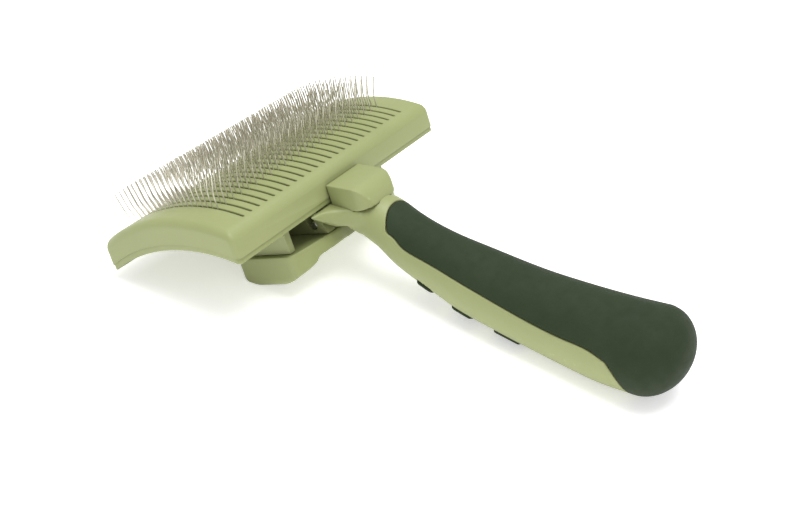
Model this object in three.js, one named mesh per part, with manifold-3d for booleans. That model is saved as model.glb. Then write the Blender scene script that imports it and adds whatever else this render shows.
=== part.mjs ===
// Self-cleaning slicker brush, modelled in millimetres with +Z up.
//
// The brush rests on a table with its wire pins up: on the front facets of the pull bar and on a small flat
// under the handle. X runs from the head to the butt of the handle, and Y along the head's long side.
//
// The head has a frame of its own, tilted about Y: u towards the handle, y along the head, n out of the face.
// The pins stand on a carrier inside the head. Pulling the bar under the head moves carrier and pins down,
// and a third as far back, so that the pins sink through the long slots in the face. A spring brings them
// out again.
import * as THREE from "three";
import { mergeVertices } from "three/addons/utils/BufferGeometryUtils.js";
import Module from "manifold-3d";

const wasm = await Module();
wasm.setup();

// ---------------------------------------------------------------- driving dimensions

const HEAD_TILT = THREE.MathUtils.degToRad(25);
const FACE_LENGTH = 113;
const FACE_WIDTH = 57.7;
const FACE_RISE = 6.5;
const WALL_HEIGHT = 10.4;
const SHELL_THICKNESS = 2;
const CLEARANCE = 0.3;
const BEYOND = 200; // reaches past the whole brush, for solids that only cut

const SLOT_COUNT = 24;
const SLOT_PITCH = 3.9;
const SLOT_WIDTH = 1.1;
const SLOT_FRONT = -25.6;
const SLOT_REAR = 25.4;

const PINS_PER_ROW = 20;
const PIN_PITCH = 2.09;
const FIRST_PIN = -24;
const PIN_LENGTH = 11.5; // above the face
const PIN_RADIUS = 0.24;
const PIN_ROOT = 3.3; // depth of a pin's foot below the face
const KNEE_HEIGHT = 4.5;
const LOWER_LEAN = THREE.MathUtils.degToRad(-10.5); // of a pin below its knee, from square to the face
const UPPER_LEAN = THREE.MathUtils.degToRad(6);

const TRAVEL_DEPTH = 13.4;
const TRAVEL_BACK = 4.8;
const SPRING_TOP = { u: 9, n: -6.9 };
const SPRING_LENGTH = 17;
const SPRING_TOP_RADIUS = 1.6;
const SPRING_SEAT_RADIUS = 3;
const SPRING_WIRE = 0.25;
const SPRING_TURNS = 4;

const HANDLE_END = 140.5;
const BUTT_RISE = 0.6;
const GRIP_THICKNESS = 2.2;

const HEAD_X = -17.8; // crown of the face, from the line that the handle's stations are measured from
const REST_FACET = 6.84;
const BAR_FRONT = -0.5;
const BAR_TOP = -26;
const BAR_BOTTOM = -36.3;

// ---------------------------------------------------------------- derived places

const HALF_WIDTH = FACE_WIDTH / 2;
const ARCH_RADIUS = (HALF_WIDTH ** 2 + FACE_RISE ** 2) / (2 * FACE_RISE);
const SLIDE_ANGLE = Math.atan2(TRAVEL_BACK, TRAVEL_DEPTH);

// Middle of the bar's front facet, in the head's frame. It rests on the table, which sets the head's height.
const restU = BAR_FRONT + REST_FACET / 2;
const restN = BAR_BOTTOM + (REST_FACET / 2) * Math.tan(HEAD_TILT);
const headZ = -restU * Math.sin(HEAD_TILT) - restN * Math.cos(HEAD_TILT);

const headFrame = new THREE.Matrix4().makeRotationY(-HEAD_TILT).setPosition(HEAD_X, 0, headZ);

const middleSlot = (SLOT_COUNT - 1) / 2;
const slotPlaces = Array.from({ length: SLOT_COUNT }, (_, i) => (i - middleSlot) * SLOT_PITCH);
const pinPlaces = Array.from({ length: PINS_PER_ROW }, (_, i) => FIRST_PIN + i * PIN_PITCH);

// ---------------------------------------------------------------- materials

const plastic = new THREE.MeshStandardMaterial({ color: 0xabb181, roughness: 0.5, metalness: 0 });
const darkRubber = new THREE.MeshStandardMaterial({ color: 0x3c4832, roughness: 0.85, metalness: 0 });
const steel = new THREE.MeshStandardMaterial({ color: 0xb9b7ae, roughness: 0.3, metalness: 1 });

// ---------------------------------------------------------------- solids

// A closed three.js geometry as a solid for cutting and joining.
function solid(geometry) {
  const bare = geometry.clone();
  bare.deleteAttribute("normal");
  bare.deleteAttribute("uv");
  const merged = mergeVertices(bare, 1e-4);
  return new wasm.Manifold(
    new wasm.Mesh({
      numProp: 3,
      vertProperties: merged.attributes.position.array,
      triVerts: new Uint32Array(merged.index.array),
    }),
  );
}

function geometryOf(manifold) {
  const mesh = manifold.getMesh();
  return new THREE.BufferGeometry()
    .setAttribute("position", new THREE.BufferAttribute(mesh.vertProperties, 3))
    .setIndex(new THREE.BufferAttribute(mesh.triVerts, 1));
}

function joined(solids) {
  return solids.reduce((whole, next) => whole.add(next));
}

function box(low, high) {
  const size = high.map((value, axis) => value - low[axis]);
  const middle = high.map((value, axis) => (value + low[axis]) / 2);
  return new THREE.BoxGeometry(...size).translate(...middle);
}

function drawnOut(shape, depth, curveSegments) {
  return new THREE.ExtrudeGeometry(shape, { depth, bevelEnabled: false, curveSegments });
}

// An outline in the (u, n) plane, drawn out along y from low to high.
function alongY(shape, low, high, curveSegments = 6) {
  return drawnOut(shape, high - low, curveSegments).rotateX(Math.PI / 2).translate(0, high, 0);
}

// An outline in the (u, y) plane, drawn out along n from low to high.
function alongN(shape, low, high, curveSegments = 6) {
  return drawnOut(shape, high - low, curveSegments).translate(0, 0, low);
}

// An outline in the (y, n) plane, drawn out along u from low to high.
function alongU(shape, low, high, curveSegments = 6) {
  const geometry = drawnOut(shape, high - low, curveSegments);
  return geometry.rotateX(Math.PI / 2).rotateZ(Math.PI / 2).translate(low, 0, 0);
}

function polygon(points) {
  return new THREE.Shape(points.map(([x, y]) => new THREE.Vector2(x, y)));
}

// A rod along y, centred on (u, n).
function crossRod(u, n, radius, halfLength, sides = 16) {
  return new THREE.CylinderGeometry(radius, radius, 2 * halfLength, sides).translate(u, 0, n);
}

// Turns a piece that stands along -z into the sliding direction, and puts its origin at the spring's top.
function toSpringLine(geometry) {
  return geometry.rotateY(-SLIDE_ANGLE).translate(SPRING_TOP.u, 0, SPRING_TOP.n);
}

// A round rod on the spring's line, between two distances below the spring's top.
function springLineRod(radius, from, to, sides = 16) {
  const rod = new THREE.CylinderGeometry(radius, radius, to - from, sides);
  return toSpringLine(rod.translate(0, -(from + to) / 2, 0).rotateX(Math.PI / 2));
}

// A turned piece whose axis points along n, from a half outline of [radius, height] points.
function turned(outline, sides = 14) {
  const points = outline.map(([radius, height]) => new THREE.Vector2(radius, height));
  return new THREE.LatheGeometry(points, sides).rotateX(Math.PI / 2);
}

// Height of the arched face above its crown level, at u.
function arch(u, radius = ARCH_RADIUS) {
  return Math.sqrt(radius ** 2 - u ** 2) - ARCH_RADIUS;
}

// ---------------------------------------------------------------- face shell

const EDGE_ROUND = 3;
const CORNER_ROUND = 2;
const TANG = { front: 27.4, rear: 39.6, halfWidth: 8, bottom: -16.7, top: -14.7 };
const NECK_SCREW = { u: 36.5, y: 4.8, shank: 1.2, head: 2.4, headHeight: 2, tip: -13.3, seat: -27.4 };

// Side view of the head: arched top, straight walls, and a bottom edge that runs parallel to the top.
function headOutline() {
  const corner = HALF_WIDTH - EDGE_ROUND;
  const topAngle = Math.asin(corner / ARCH_RADIUS);
  const bottomAngle = Math.asin(HALF_WIDTH / ARCH_RADIUS);
  const shape = new THREE.Shape();
  shape.moveTo(-HALF_WIDTH, arch(HALF_WIDTH) - WALL_HEIGHT);
  shape.lineTo(-HALF_WIDTH, arch(HALF_WIDTH) - EDGE_ROUND);
  shape.quadraticCurveTo(-HALF_WIDTH, arch(HALF_WIDTH), -corner, arch(corner));
  shape.absarc(0, -ARCH_RADIUS, ARCH_RADIUS, Math.PI / 2 + topAngle, Math.PI / 2 - topAngle, true);
  shape.quadraticCurveTo(HALF_WIDTH, arch(HALF_WIDTH), HALF_WIDTH, arch(HALF_WIDTH) - EDGE_ROUND);
  shape.lineTo(HALF_WIDTH, arch(HALF_WIDTH) - WALL_HEIGHT);
  const bottomCentre = -ARCH_RADIUS - WALL_HEIGHT;
  shape.absarc(0, bottomCentre, ARCH_RADIUS, Math.PI / 2 - bottomAngle, Math.PI / 2 + bottomAngle, false);
  return shape;
}

function roundedRectangle(halfU, halfY, radius) {
  const shape = new THREE.Shape();
  shape.absarc(halfU - radius, halfY - radius, radius, 0, Math.PI / 2, false);
  shape.absarc(-halfU + radius, halfY - radius, radius, Math.PI / 2, Math.PI, false);
  shape.absarc(-halfU + radius, -halfY + radius, radius, Math.PI, (3 * Math.PI) / 2, false);
  shape.absarc(halfU - radius, -halfY + radius, radius, (3 * Math.PI) / 2, 2 * Math.PI, false);
  return shape;
}

// The room inside the head, under an arched ceiling.
function headCavity() {
  const half = HALF_WIDTH - SHELL_THICKNESS;
  const ceiling = ARCH_RADIUS - SHELL_THICKNESS;
  const angle = Math.asin(half / ceiling);
  const shape = new THREE.Shape();
  shape.absarc(0, -ARCH_RADIUS, ceiling, Math.PI / 2 - angle, Math.PI / 2 + angle, false);
  shape.lineTo(-half, -BEYOND);
  shape.lineTo(half, -BEYOND);
  return shape;
}

// Upright round holes at both neck screws.
function screwHoles(radius, low, high) {
  const outline = [[0, low], [radius, low], [radius, high], [0, high]];
  return [-1, 1].map((side) => solid(turned(outline).translate(NECK_SCREW.u, side * NECK_SCREW.y, 0)));
}

function faceShell() {
  const plan = roundedRectangle(HALF_WIDTH, FACE_LENGTH / 2, CORNER_ROUND);
  const outside = solid(alongY(headOutline(), -FACE_LENGTH / 2, FACE_LENGTH / 2, 4));
  const body = outside.intersect(solid(alongN(plan, -BEYOND, BEYOND, 3)));
  const insideEnd = FACE_LENGTH / 2 - SHELL_THICKNESS;
  const cavity = solid(alongY(headCavity(), -insideEnd, insideEnd, 4));
  const halfSlot = SLOT_WIDTH / 2;
  const slots = slotPlaces.map((y) =>
    solid(box([SLOT_FRONT, y - halfSlot, -BEYOND], [SLOT_REAR, y + halfSlot, BEYOND])),
  );
  const tang = solid(box([TANG.front, -TANG.halfWidth, TANG.bottom], [TANG.rear, TANG.halfWidth, TANG.top]));
  const shell = body.subtract(cavity).subtract(joined(slots)).add(tang);
  return shell.subtract(joined(screwHoles(NECK_SCREW.shank + CLEARANCE, -BEYOND, 0)));
}

// ---------------------------------------------------------------- neck block

const BLOCK = {
  front: HALF_WIDTH + CLEARANCE,
  rear: 43.6,
  halfWidth: 9.4,
  corner: 5,
  top: -10.4,
  brow: { u: 38.6, n: -12.7 },
  shoulder: { u: 42.4, n: -13.8 },
  bottom: -20.4,
};

// The raised cap that covers the shell's tang. It slopes down towards the handle.
function blockOutline(grow = 0) {
  const shape = new THREE.Shape();
  shape.moveTo(BLOCK.front - grow, BLOCK.bottom - grow);
  shape.lineTo(BLOCK.rear + grow, BLOCK.bottom - grow);
  shape.quadraticCurveTo(
    BLOCK.shoulder.u + grow, BLOCK.shoulder.n + grow, BLOCK.brow.u, BLOCK.brow.n + grow,
  );
  shape.lineTo(BLOCK.front - grow, BLOCK.top + grow);
  return shape;
}

// The block's form in plan has rounded corners at the handle's side.
function blockForm(grow = 0) {
  const halfWidth = BLOCK.halfWidth + 3 * grow;
  const rear = BLOCK.rear + grow;
  const plan = new THREE.Shape();
  plan.absarc(rear - BLOCK.corner, halfWidth - BLOCK.corner, BLOCK.corner, 0, Math.PI / 2, false);
  plan.lineTo(0, halfWidth);
  plan.lineTo(0, -halfWidth);
  plan.absarc(rear - BLOCK.corner, BLOCK.corner - halfWidth, BLOCK.corner, 1.5 * Math.PI, 2 * Math.PI, false);
  const side = solid(alongY(blockOutline(grow), -halfWidth, halfWidth, 4));
  return side.intersect(solid(alongN(plan, -BEYOND, 0, 4)));
}

function neckBlock() {
  const pocketLow = [0, -TANG.halfWidth - CLEARANCE, TANG.bottom - CLEARANCE];
  const pocketHigh = [TANG.rear + CLEARANCE, TANG.halfWidth + CLEARANCE, TANG.top + CLEARANCE];
  const pocket = solid(box(pocketLow, pocketHigh));
  const holes = screwHoles(NECK_SCREW.shank + CLEARANCE, -BEYOND, NECK_SCREW.tip + CLEARANCE);
  return blockForm().subtract(pocket).subtract(joined(holes));
}

// ---------------------------------------------------------------- handle

// Middle height, half width and half height of the handle at places along its length, from neck to butt.
const HANDLE_STATIONS = [
  { x: 21, z: 23.6, halfWidth: 9.4, halfHeight: 6.6 },
  { x: 27, z: 23.2, halfWidth: 9.2, halfHeight: 7.6 },
  { x: 33, z: 22.2, halfWidth: 9.4, halfHeight: 8.4 },
  { x: 40, z: 19.2, halfWidth: 9.9, halfHeight: 9.2 },
  { x: 47, z: 17.2, halfWidth: 10.2, halfHeight: 9.6 },
  { x: 56, z: 15.5, halfWidth: 10.8, halfHeight: 10.2 },
  { x: 67, z: 14, halfWidth: 12, halfHeight: 11.2 },
  { x: 86, z: 12.9, halfWidth: 13.3, halfHeight: 11.8 },
  { x: 102, z: 12.8, halfWidth: 14.3, halfHeight: 12.9 },
  { x: 116, z: 13.3, halfWidth: 15.6, halfHeight: 13.7 },
  { x: 128, z: 14.8, halfWidth: 16.2, halfHeight: 14 },
];
const HANDLE_SIDES = 20;
const HANDLE_STEPS = 15;
const DOME_STEPS = 4;
const DOME_END = THREE.MathUtils.degToRad(84); // the last ring is a small flat one, short of the pole
const BUTT_LENGTH = HANDLE_END - HANDLE_STATIONS.at(-1).x;

const axisCurve = new THREE.CatmullRomCurve3(
  HANDLE_STATIONS.map((s) => new THREE.Vector3(s.x, 0, s.z)), false, "catmullrom",
);
const sizeCurve = new THREE.CatmullRomCurve3(
  HANDLE_STATIONS.map((s) => new THREE.Vector3(s.halfWidth, s.halfHeight, 0)), false, "catmullrom",
);

// Cross sections of the handle, moved in from its surface by inset, with a domed butt.
function handleRings(inset) {
  const rings = [];
  for (let i = 0; i <= HANDLE_STEPS; i++) {
    const middle = axisCurve.getPoint(i / HANDLE_STEPS);
    const size = sizeCurve.getPoint(i / HANDLE_STEPS);
    rings.push({ x: middle.x, z: middle.z, halfWidth: size.x - inset, halfHeight: size.y - inset });
  }
  const last = rings.at(-1);
  for (let i = 1; i <= DOME_STEPS; i++) {
    const angle = (i / DOME_STEPS) * DOME_END;
    rings.push({
      x: last.x + (BUTT_LENGTH - inset) * Math.sin(angle),
      z: last.z + BUTT_RISE * Math.sin(angle),
      halfWidth: last.halfWidth * Math.cos(angle),
      halfHeight: last.halfHeight * Math.cos(angle),
    });
  }
  return rings;
}

// The handle's whole outer form, or the form inside it: a cylinder whose rings follow the cross sections.
function handleForm(inset = 0) {
  const rings = handleRings(inset);
  const geometry = new THREE.CylinderGeometry(1, 1, 1, HANDLE_SIDES, rings.length - 1);
  const positions = geometry.getAttribute("position");
  for (let i = 0; i < positions.count; i++) {
    const ring = rings[Math.round((0.5 - positions.getY(i)) * (rings.length - 1))];
    const sideways = positions.getX(i);
    const upwards = positions.getZ(i);
    positions.setXYZ(i, ring.x, sideways * ring.halfWidth, ring.z + upwards * ring.halfHeight);
  }
  return geometry;
}

// The rubber's lower edge in side view, as x and height: along the handle, then down around the butt.
const GRIP_START = [30, 26];
const GRIP_EDGE = [
  [39, 23.6], [44.5, 21], [54, 19.7], [71.5, 17.9], [88.5, 16.4], [101, 15.9], [112, 16.4], [119, 15.4],
];
const GRIP_TURN = [127.5, 9.5];
const GRIP_END = [129.5, -6];
const GRIP_LOBE = { tip: 34, roundHalf: 9, shoulder: 41, shoulderHalf: 10.4, wide: 45 };

// Side view of what the rubber covers: the upper part of the handle, and all of the butt.
function gripSide(grow) {
  const shape = new THREE.Shape();
  shape.moveTo(GRIP_START[0], BEYOND);
  shape.lineTo(...GRIP_START);
  shape.splineThru(GRIP_EDGE.map(([x, z]) => new THREE.Vector2(x, z - grow)));
  shape.quadraticCurveTo(...GRIP_TURN, GRIP_END[0] - grow, GRIP_END[1]);
  shape.lineTo(BEYOND, GRIP_END[1]);
  shape.lineTo(BEYOND, BEYOND);
  return shape;
}

// Plan view of the same: a rounded lobe at the neck.
function gripPlan(grow) {
  const tip = GRIP_LOBE.tip - grow;
  const shoulder = GRIP_LOBE.shoulder - grow;
  const shape = new THREE.Shape();
  shape.moveTo(BEYOND, BEYOND);
  shape.lineTo(GRIP_LOBE.wide, BEYOND);
  shape.lineTo(shoulder, GRIP_LOBE.shoulderHalf);
  shape.quadraticCurveTo(tip, GRIP_LOBE.roundHalf, tip, 0);
  shape.quadraticCurveTo(tip, -GRIP_LOBE.roundHalf, shoulder, -GRIP_LOBE.shoulderHalf);
  shape.lineTo(GRIP_LOBE.wide, -BEYOND);
  shape.lineTo(BEYOND, -BEYOND);
  return shape;
}

function gripRegion(grow = 0) {
  const side = solid(alongY(gripSide(grow), -BEYOND, BEYOND, 3));
  return side.intersect(solid(alongN(gripPlan(grow), -BEYOND, BEYOND, 4)));
}

function rubberGrip() {
  return solid(handleForm()).intersect(gripRegion()).subtract(solid(handleForm(GRIP_THICKNESS)));
}

// ---------------------------------------------------------------- thumb bars

const THUMB_BARS = [
  { from: 49.5, to: 54.8 },
  { from: 63, to: 70.3 },
  { from: 78.7, to: 88.3 },
];
const THUMB_BAR_PROUD = 0.8;
const THUMB_BAR_DEEP = 1.2;
const THUMB_BAR_HALF = 8.2;
const THUMB_BAR_ROOF = 12; // above the bars and below the middle of the handle

function thumbBarRegion({ from, to }, grow = 0) {
  const half = THUMB_BAR_HALF + grow;
  return solid(box([from - grow, -half, -BEYOND], [to + grow, half, THUMB_BAR_ROOF]));
}

function thumbBar(place) {
  const outside = solid(handleForm(-THUMB_BAR_PROUD));
  return outside.intersect(thumbBarRegion(place)).subtract(solid(handleForm(THUMB_BAR_DEEP)));
}

// ---------------------------------------------------------------- handle body

const TONGUE = { front: 6.5, rear: 31, halfWidth: 8.5, bottom: -25, top: -20.9 };
const RODS = [
  { name: "guide_rod_front", u: 8.7, n: -22.9 },
  { name: "guide_rod_rear", u: 21.5, n: -22.9 },
];
const ROD_RADIUS = 1.25;
const ROD_HALF = 12.6;
const FLARE = {
  front: 27.6,
  wingRear: 28.9,
  hollow: { u: 30.4, half: 10 }, // pulls the wings' rear edge inwards
  rear: 40,
  rearHalf: 9,
  top: -17.2,
  halfTop: 20,
  bottom: -25,
  halfBottom: 10,
};
const FLAT_FROM = 60; // where the handle's flat on the table may begin
const SPRING_CUP = { radius: 3.4, from: 8, to: SPRING_LENGTH + CLEARANCE };

// The part of the neck that spreads out in two wings under the head's rear wall.
function flare() {
  const { front, wingRear, hollow, rear, rearHalf, top, halfTop, bottom, halfBottom } = FLARE;
  const endView = polygon([[-halfTop, top], [-halfBottom, bottom], [halfBottom, bottom], [halfTop, top]]);
  const plan = new THREE.Shape();
  plan.moveTo(front, halfTop);
  plan.lineTo(front, -halfTop);
  plan.lineTo(wingRear, -halfTop);
  plan.quadraticCurveTo(hollow.u, -hollow.half, rear, -rearHalf);
  plan.lineTo(rear, rearHalf);
  plan.quadraticCurveTo(hollow.u, hollow.half, wingRear, halfTop);
  return solid(alongU(endView, front, rear)).intersect(solid(alongN(plan, -BEYOND, 0)));
}

// What lies under the head: the tongue and the flare.
function yoke() {
  const tongueLow = [TONGUE.front, -TONGUE.halfWidth, TONGUE.bottom];
  return solid(box(tongueLow, [TONGUE.rear, TONGUE.halfWidth, TONGUE.top])).add(flare());
}

function inWorld(manifold) {
  return solid(geometryOf(manifold).applyMatrix4(headFrame));
}

function handleBody() {
  const cover = blockForm(CLEARANCE);
  const rodHoles = RODS.map(({ u, n }) => solid(crossRod(u, n, ROD_RADIUS + CLEARANCE, BEYOND)));
  const cup = solid(springLineRod(SPRING_CUP.radius, SPRING_CUP.from, SPRING_CUP.to));
  const shanks = screwHoles(NECK_SCREW.shank + CLEARANCE, -BEYOND, 0);
  const heads = screwHoles(NECK_SCREW.head + CLEARANCE, -BEYOND, NECK_SCREW.seat + CLEARANCE);
  const whole = inWorld(yoke()).add(solid(handleForm()));
  const cuts = inWorld(joined([cover, ...rodHoles, cup, ...shanks, ...heads]));
  const rubber = gripRegion(CLEARANCE).subtract(solid(handleForm(GRIP_THICKNESS + CLEARANCE)));
  const pockets = THUMB_BARS.map((place) =>
    thumbBarRegion(place, CLEARANCE).subtract(solid(handleForm(THUMB_BAR_DEEP + CLEARANCE))),
  );
  const belowTable = solid(box([FLAT_FROM, -BEYOND, -BEYOND], [BEYOND, BEYOND, 0]));
  return whole.subtract(cuts).subtract(rubber).subtract(joined(pockets)).subtract(belowTable);
}

// ---------------------------------------------------------------- pin carrier

const PLATE = { front: -26.2, rear: 16.2, halfLength: 49.5, outer: 3.8, inner: 5.2 };
const CHEEK = { inner: 9.1, outer: 12.9, front: 5.8, rear: 27.2, top: -5 };
const LEG = {
  inner: 26,
  outer: 28.5,
  front: 5,
  rear: 22.8,
  shoulder: -14.5,
  slopeTo: 14,
  wall: 2.4,
  top: -5,
};
const CORNER_BOSS = { rear: 13, inner: 21.8, top: -18 };
const CARRIER_BOTTOM = BAR_TOP + CLEARANCE;
const LUG = { radius: 3, above: 5 }; // the boss that the spring pushes against
const CARRIER_DEPTH = 30; // below the face, and past the carrier's lower end
const TRACK_EASE = 0.1; // extra room in the slanted tracks
const OVERLAP = 0.5; // how deep neighbouring parts of the carrier run into each other

// A band that follows the underside of the face, between two depths below it.
function archedBand(front, rear, upperDepth, lowerDepth) {
  const upper = ARCH_RADIUS - upperDepth;
  const lower = ARCH_RADIUS - lowerDepth;
  const angleAt = (u, radius) => Math.PI / 2 - Math.asin(u / radius);
  const shape = new THREE.Shape();
  shape.absarc(0, -ARCH_RADIUS, upper, angleAt(front, upper), angleAt(rear, upper), true);
  shape.absarc(0, -ARCH_RADIUS, lower, angleAt(rear, lower), angleAt(front, lower), false);
  return shape;
}

// The track of a guide rod through a cheek, from its rest place forward and up.
function rodTrack({ u, n }) {
  const radius = ROD_RADIUS + CLEARANCE + TRACK_EASE;
  const shape = new THREE.Shape();
  shape.absarc(u, n, radius, SLIDE_ANGLE - Math.PI, SLIDE_ANGLE, false);
  shape.absarc(u - TRAVEL_BACK, n + TRAVEL_DEPTH, radius, SLIDE_ANGLE, SLIDE_ANGLE + Math.PI, false);
  return solid(alongY(shape, -CHEEK.outer - OVERLAP, CHEEK.outer + OVERLAP));
}

// The same outline drawn out between inner and outer on both sides of the middle.
function bothSides(shape, inner, outer) {
  return solid(alongY(shape, inner, outer)).add(solid(alongY(shape, -outer, -inner)));
}

// Two slanted plates beside the tongue. They lean along the sliding direction.
function cheekPair() {
  const shift = (CHEEK.top - CARRIER_BOTTOM) * Math.tan(SLIDE_ANGLE);
  const outline = polygon([
    [CHEEK.front, CARRIER_BOTTOM],
    [CHEEK.rear, CARRIER_BOTTOM],
    [CHEEK.rear - shift, CHEEK.top],
    [CHEEK.front - shift, CHEEK.top],
  ]);
  return bothSides(outline, CHEEK.inner, CHEEK.outer);
}

// The outer legs that carry the pull bar, walls that tie them to the cheeks, and corner bosses for screws.
function legPair() {
  const legOutline = polygon([
    [LEG.front, CARRIER_BOTTOM],
    [LEG.rear, CARRIER_BOTTOM],
    [LEG.rear, LEG.shoulder],
    [LEG.slopeTo, LEG.top],
    [LEG.front, LEG.top],
  ]);
  const block = (rear, top) =>
    polygon([[LEG.front, CARRIER_BOTTOM], [rear, CARRIER_BOTTOM], [rear, top], [LEG.front, top]]);
  const legs = bothSides(legOutline, LEG.inner, LEG.outer);
  const walls = bothSides(block(LEG.front + LEG.wall, LEG.top), CHEEK.outer - OVERLAP, LEG.outer);
  const bosses = bothSides(block(CORNER_BOSS.rear, CORNER_BOSS.top), CORNER_BOSS.inner, LEG.outer);
  return joined([legs, walls, bosses]);
}

function pinCarrier() {
  const plateOutline = archedBand(PLATE.front, PLATE.rear, PLATE.outer, PLATE.inner);
  const plate = solid(alongY(plateOutline, -PLATE.halfLength, PLATE.halfLength, 5));
  const underside = archedBand(-CHEEK.rear, CHEEK.rear, PLATE.outer + OVERLAP, CARRIER_DEPTH);
  const underPlate = solid(alongY(underside, -LEG.outer, LEG.outer));
  const lug = solid(springLineRod(LUG.radius, -LUG.above, 0));
  const frame = joined([cheekPair(), legPair(), lug]).intersect(underPlate);
  const pilot = turned(barScrewOutline(CLEARANCE));
  const pilots = barScrewPlaces.map(([u, y]) => solid(pilot.clone().translate(u, y, 0)));
  return plate.add(frame).subtract(joined([...RODS.map(rodTrack), ...pilots]));
}

// ---------------------------------------------------------------- pins

const STRIP = { front: -25.6, rear: 16.2, outer: 2.7, inner: 3.5, halfWidth: 0.9 };

// One wire pin. It leans to the front as far as the knee, and is bent back towards the handle above it.
function pin(u, y) {
  const square = Math.asin(u / ARCH_RADIUS);
  const onFace = new THREE.Vector2(u, arch(u));
  const lower = new THREE.Vector2(Math.sin(square + LOWER_LEAN), Math.cos(square + LOWER_LEAN));
  const upper = new THREE.Vector2(Math.sin(square + UPPER_LEAN), Math.cos(square + UPPER_LEAN));
  const foot = onFace.clone().addScaledVector(lower, -PIN_ROOT);
  const knee = onFace.clone().addScaledVector(lower, KNEE_HEIGHT);
  const tip = knee.clone().addScaledVector(upper, PIN_LENGTH - KNEE_HEIGHT);
  const wire = new THREE.CylinderGeometry(PIN_RADIUS, PIN_RADIUS, 1, 3, 2);
  const positions = wire.getAttribute("position");
  const levels = [foot, knee, tip];
  for (let i = 0; i < positions.count; i++) {
    const level = levels[Math.round(2 * (positions.getY(i) + 0.5))];
    positions.setXYZ(i, level.x + positions.getZ(i), y + positions.getX(i), level.y);
  }
  return solid(wire);
}

// The pins of one slot, standing on the strip that holds their feet.
function pinRow(y) {
  const band = archedBand(STRIP.front, STRIP.rear, STRIP.outer, STRIP.inner);
  const strip = solid(alongY(band, y - STRIP.halfWidth, y + STRIP.halfWidth, 2));
  return joined([strip, ...pinPlaces.map((u) => pin(u, y))]);
}

// ---------------------------------------------------------------- pull bar

const BAR = {
  rear: 24.6,
  middleRear: 27.6,
  middleHalf: 11,
  halfLength: 30.5,
  thin: 4.8,
  wingStart: 17,
  wingFull: 27,
  wingBend: 6, // how softly the underside runs down into the wings
  flatRear: 13, // the underside is flat as far back as this
  curve: 22,
  chamfer: 1.2,
  planCorner: 4,
  endRound: 2.5,
};
const BAR_SCREW = { radius: 0.9, headRadius: 1.9, headHeight: 1.4, tip: -22.7, seat: -28.7 };
const barScrewPlaces = [[15, -11], [15, 11], [9.6, -24.3], [9.6, 24.3]];

// Half outline of a bar screw, or of the hole around it.
function barScrewOutline(grow) {
  const { radius, headRadius, headHeight, tip, seat } = BAR_SCREW;
  return [
    [0, seat - headHeight],
    [headRadius + grow, seat - headHeight],
    [headRadius + grow, seat + grow],
    [radius + grow, seat + grow],
    [radius + grow, tip + grow],
    [0, tip + grow],
  ];
}

// End view of the bar's wing, with the facet at its lower front edge that lies level on a table.
function wingOutline() {
  const facetRise = REST_FACET * Math.tan(HEAD_TILT);
  const shape = new THREE.Shape();
  shape.moveTo(BAR_FRONT, BAR_BOTTOM + facetRise);
  shape.lineTo(BAR_FRONT + REST_FACET, BAR_BOTTOM);
  shape.lineTo(BAR.flatRear, BAR_BOTTOM);
  shape.quadraticCurveTo(BAR.curve, BAR_BOTTOM, BAR.middleRear, BAR_TOP - BAR.thin);
  shape.lineTo(BAR.middleRear, BAR_TOP);
  shape.lineTo(BAR_FRONT + BAR.chamfer, BAR_TOP);
  shape.lineTo(BAR_FRONT, BAR_TOP - BAR.chamfer);
  return shape;
}

// Rear view of the bar: thick wings for the fingers, thin in the middle under the neck.
function barRearOutline() {
  const thin = BAR_TOP - BAR.thin;
  const round = BAR.endRound;
  const end = BAR.halfLength;
  const { wingStart, wingFull, wingBend } = BAR;
  const shape = new THREE.Shape();
  shape.moveTo(-end, BAR_TOP);
  shape.lineTo(-end, BAR_BOTTOM + round);
  shape.quadraticCurveTo(-end, BAR_BOTTOM, -end + round, BAR_BOTTOM);
  shape.lineTo(-wingFull, BAR_BOTTOM);
  shape.bezierCurveTo(-wingFull + wingBend, BAR_BOTTOM, -wingStart - wingBend, thin, -wingStart, thin);
  shape.lineTo(wingStart, thin);
  shape.bezierCurveTo(wingStart + wingBend, thin, wingFull - wingBend, BAR_BOTTOM, wingFull, BAR_BOTTOM);
  shape.lineTo(end - round, BAR_BOTTOM);
  shape.quadraticCurveTo(end, BAR_BOTTOM, end, BAR_BOTTOM + round);
  shape.lineTo(end, BAR_TOP);
  return shape;
}

// Plan view of the bar. It tapers a little from the middle to the rounded ends.
function barPlan() {
  const round = BAR.planCorner;
  const front = BAR_FRONT + round;
  const rear = BAR.rear - round;
  const end = BAR.halfLength - round;
  const shape = new THREE.Shape();
  shape.absarc(front, -end, round, Math.PI, 1.5 * Math.PI, false);
  shape.absarc(rear, -end, round, 1.5 * Math.PI, 2 * Math.PI, false);
  shape.lineTo(BAR.middleRear, -BAR.middleHalf);
  shape.lineTo(BAR.middleRear, BAR.middleHalf);
  shape.absarc(rear, end, round, 0, Math.PI / 2, false);
  shape.absarc(front, end, round, Math.PI / 2, Math.PI, false);
  return shape;
}

function pullBar() {
  const wing = solid(alongY(wingOutline(), -BAR.halfLength, BAR.halfLength));
  const rearView = solid(alongU(barRearOutline(), -BEYOND, BEYOND, 5));
  const plan = solid(alongN(barPlan(), -BEYOND, 0, 4));
  const headRoom = BAR_SCREW.headRadius + CLEARANCE;
  const hole = [[0, BAR_BOTTOM], [headRoom, BAR_BOTTOM], ...barScrewOutline(CLEARANCE).slice(2)];
  const holes = barScrewPlaces.map(([u, y]) => solid(turned(hole).translate(u, y, 0)));
  return wing.intersect(rearView).intersect(plan).subtract(joined(holes));
}

// ---------------------------------------------------------------- fasteners, rods and spring

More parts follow.
